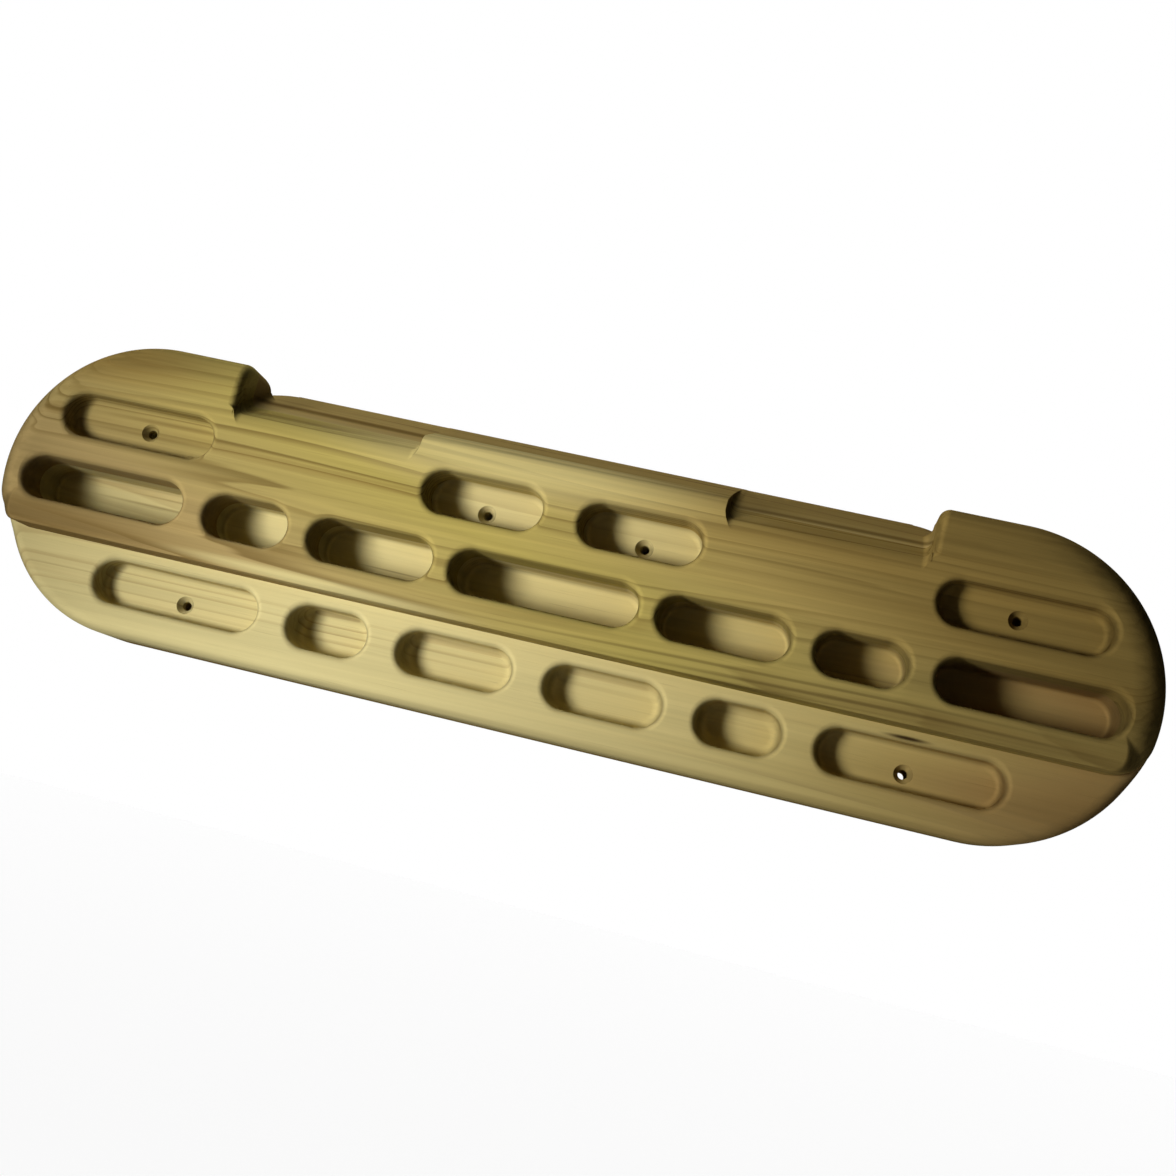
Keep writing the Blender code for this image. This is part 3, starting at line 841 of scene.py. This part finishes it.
FRONT_MARKS = {
    "pale streak on the left": Mark((-0.11, -0.058, -0.0275), (0.1, 0.03, 0.0045), (214, 200, 140), 0.8),
    "pale centre hold": Mark((-0.03, -0.05, 0.052), (0.14, 0.04, 0.026), (214, 197, 132), 0.8),
    "brown band on the right": Mark((0.2, -0.058, -0.03), (0.14, 0.03, 0.009), (138, 110, 58), 0.35),
    "upper line on the right": Mark((0.1, -0.058, -0.0245), (0.17, 0.03, 0.0011), (96, 76, 36), 0.5),
    "lower line on the right": Mark((0.16, -0.058, -0.0285), (0.14, 0.03, 0.0013), (92, 70, 34), 0.5),
    # Painted shade: a dark line on the underside of the step and its round.
    "painted shade under the step": Mark((0.05, -0.058, -0.0315), (0.16, 0.03, 0.001), (104, 84, 42), 0.5),
    "upper line in a top slot": Mark((-0.2, -0.0455, 0.034), (0.07, 0.008, 0.0018), (120, 94, 50), 0.6),
    "lower line in that slot": Mark((-0.215, -0.0455, 0.027), (0.06, 0.008, 0.0014), (126, 100, 54), 0.5),
    "brown lower left end": Mark((-0.26, -0.058, -0.028), (0.11, 0.03, 0.016), (126, 102, 58), 0.75),
    "brown left lobe": Mark((-0.25, -0.058, 0.062), (0.09, 0.04, 0.024), (142, 114, 58), 0.7),
}
MIDDLE_MARKS = {
    "small knot below the step": Mark((0.181, -0.0387, -0.0352), (0.015, 0.01, 0.0015), (52, 34, 18), 0.95),
    "brown all along the top": Mark((0, -0.029, 0.072), (0.8, 0.05, 0.042), (166, 138, 76), 0.9),
    "lower line in the outer slot": Mark((-0.21, -0.021, -0.004), (0.06, 0.006, 0.0012), (128, 106, 58), 0.6),
    "upper line in the outer slot": Mark((-0.2, -0.021, 0.001), (0.05, 0.006, 0.0009), (134, 112, 62), 0.5),
    "lower line in the third slot": Mark((-0.075, -0.03, -0.0125), (0.03, 0.012, 0.0009), (98, 74, 38), 0.7),
    "upper line in the third slot": Mark((-0.08, -0.03, -0.0095), (0.03, 0.01, 0.0007), (110, 86, 46), 0.6),
    "lower line on the left slope": Mark((-0.12, -0.03, 0.0535), (0.22, 0.03, 0.0022), (96, 72, 36), 0.8),
    "upper line on the left slope": Mark((-0.1, -0.02, 0.0625), (0.26, 0.03, 0.0026), (102, 77, 38), 0.8),
    "line on the right slope": Mark((0.13, -0.03, 0.0565), (0.2, 0.03, 0.0028), (104, 80, 40), 0.7),
}

timbers = {
    "front_board": timber(
        "olive heartwood",
        tones=[(-0.285, (167, 143, 92)), (-0.2, (176, 152, 98)), (-0.12, (178, 158, 96)), (0, (186, 168, 91)),
               (0.09, (187, 166, 95)), (0.16, (186, 161, 93)), (0.25, (166, 139, 76))],
        lean=2.5, late_wood=(112, 88, 42), pith=(0, -0.035, 0.028), tilt=(0, -0.05, 0.03), spacing=3.4 * MM,
        ring_strength=0.65, streak_strength=0.5, seed=1.7, marks=FRONT_MARKS),
    "middle_board": timber(
        "pale sapwood",
        tones=[(-0.285, (206, 191, 133)), (-0.12, (217, 203, 145)), (0, (213, 197, 137)),
               (0.07, (212, 194, 131)), (0.12, (208, 188, 122)), (0.18, (195, 171, 105)),
               (0.24, (184, 153, 94)), (0.28, (176, 143, 86))],
        lean=0, late_wood=(164, 138, 88), pith=(0, -0.06, -0.03), tilt=(0, 0.03, 0.02), spacing=4.2 * MM,
        ring_strength=0.6, streak_strength=0.24, seed=5.3, marks=MIDDLE_MARKS),
    "back_board": timber(
        "brown heartwood",
        tones=[(-0.285, (166, 140, 84)), (-0.1, (176, 152, 90)), (0.05, (176, 151, 88)),
               (0.28, (156, 129, 72))],
        lean=1, late_wood=(118, 90, 56), pith=(0, 0.05, 0.02), tilt=(0, -0.04, 0.02), spacing=3.8 * MM,
        ring_strength=0.6, streak_strength=0.24, seed=9.1, marks={}),
}
for name, material in timbers.items():
    boards[name].data.materials.clear()
    boards[name].data.materials.append(material)
    print(name, "is", material.name, "with", len(material.node_tree.nodes), "nodes")

# %% [markdown]
# The photograph has one small lamp in front of the board, low on the left. Its place was worked out from
# where the shadows fall in the slots. It's aimed left of the middle and its beam is narrow, so the right end
# falls into shade. A wide lamp above the left end lights the sloping holds along the top, and another stands
# behind the board, as the back would be dull without it.

# %% Lamps
MAIN_LAMP = Vector((-0.56, -0.696, -0.17))
MAIN_AIM = Vector((-0.045, -0.058, 0))
MAIN_SIZE = 0.28
MAIN_BEAM = math.radians(48)
MAIN_POWER = 0.66
TOP_LAMP = Vector((-0.5, 0.3, 0.9))
TOP_POWER = 6.5
REAR_LAMP = Vector((0.3, 1.3, 0.25))
REAR_POWER = 12
WIDE_SIZE = 0.8
WIDE_BEAM = math.radians(160)
WIDE_AIM = Vector((0, 0, 0))


def add_lamp(name, place, aim, size, beam, power):
    """A round lamp at a place, pointed at another."""
    lamp = bpy.data.objects.new(name, bpy.data.lights.new(name, "AREA"))
    lamp.data.shape = "DISK"
    lamp.data.size = size
    lamp.data.spread = beam
    lamp.data.energy = power
    turn = (aim - place).to_track_quat("-Z", "Y").to_matrix().to_4x4()
    lamp.matrix_world = Matrix.Translation(place) @ turn
    bpy.context.scene.collection.objects.link(lamp)
    return lamp


for lamp in (add_lamp("main lamp", MAIN_LAMP, MAIN_AIM, MAIN_SIZE, MAIN_BEAM, MAIN_POWER),
             add_lamp("top lamp", TOP_LAMP, WIDE_AIM, WIDE_SIZE, WIDE_BEAM, TOP_POWER),
             add_lamp("rear lamp", REAR_LAMP, WIDE_AIM, WIDE_SIZE, WIDE_BEAM, REAR_POWER)):
    print(lamp.name, "has", lamp.data.energy, "watts")

# %% [markdown]
# The background of the photograph is plain white, and the shadows in the slots are nearly black. So the
# world is white for the camera and for reflections, but it lights the board only weakly: a Light Path node
# tells the two apart. The floor does the same with a mixed material, and keeps the soft shadow that falls
# on it.

# %% World and floor
AMBIENT = 0.008
FLOOR_Z = -1.1
FLOOR_SIZE = 30
FLOOR_GREY = 0.85
FLOOR_ROUGHNESS = 0.9
FLOOR_GLOW = 0.9
WHITE = (1, 1, 1, 1)


def seen_directly(tree):
    """1 for rays from the camera, or from a mirror or glass that shows the background."""
    path = add_node(tree, "LightPath")
    total = path.outputs["Is Camera Ray"]
    for kind in ("Is Glossy Ray", "Is Transmission Ray"):
        total = calc(tree, "MAXIMUM", total, path.outputs[kind])
    return total


def mix_shaders(tree, factor, first, second, output):
    """Mixes two shaders, and links the result to the output node."""
    mixed = add_node(tree, "MixShader", {0: factor, 1: first, 2: second})
    tree.links.new(mixed.outputs[0], tree.nodes[output].inputs["Surface"])


world = bpy.data.worlds.new("studio")
world.use_nodes = True
tree = world.node_tree
fill = tree.nodes["Background"]
fill.inputs["Color"].default_value = WHITE
fill.inputs["Strength"].default_value = AMBIENT
white = add_node(tree, "Background", {"Color": WHITE, "Strength": 1.0})
mix_shaders(tree, seen_directly(tree), fill.outputs[0], white.outputs[0], "World Output")
bpy.context.scene.world = world
bpy.context.scene.view_settings.view_transform = "Standard"

bm = bmesh.new()
bmesh.ops.create_grid(bm, x_segments=1, y_segments=1, size=FLOOR_SIZE / 2)
bmesh.ops.translate(bm, verts=bm.verts, vec=(0, 0, FLOOR_Z))
floor = close_mesh("floor", bm)
paint = bpy.data.materials.new("pale floor")
paint.use_nodes = True
tree = paint.node_tree
matt = tree.nodes["Principled BSDF"]
matt.inputs["Base Color"].default_value = (FLOOR_GREY, FLOOR_GREY, FLOOR_GREY, 1)
matt.inputs["Roughness"].default_value = FLOOR_ROUGHNESS
glow = add_node(tree, "Emission", {"Strength": FLOOR_GLOW})
both = add_node(tree, "AddShader", {0: matt.outputs[0], 1: glow.outputs[0]})
mix_shaders(tree, seen_directly(tree), matt.outputs[0], both.outputs[0], "Material Output")
floor.data.materials.append(paint)
print("floor at", FLOOR_Z, "m")
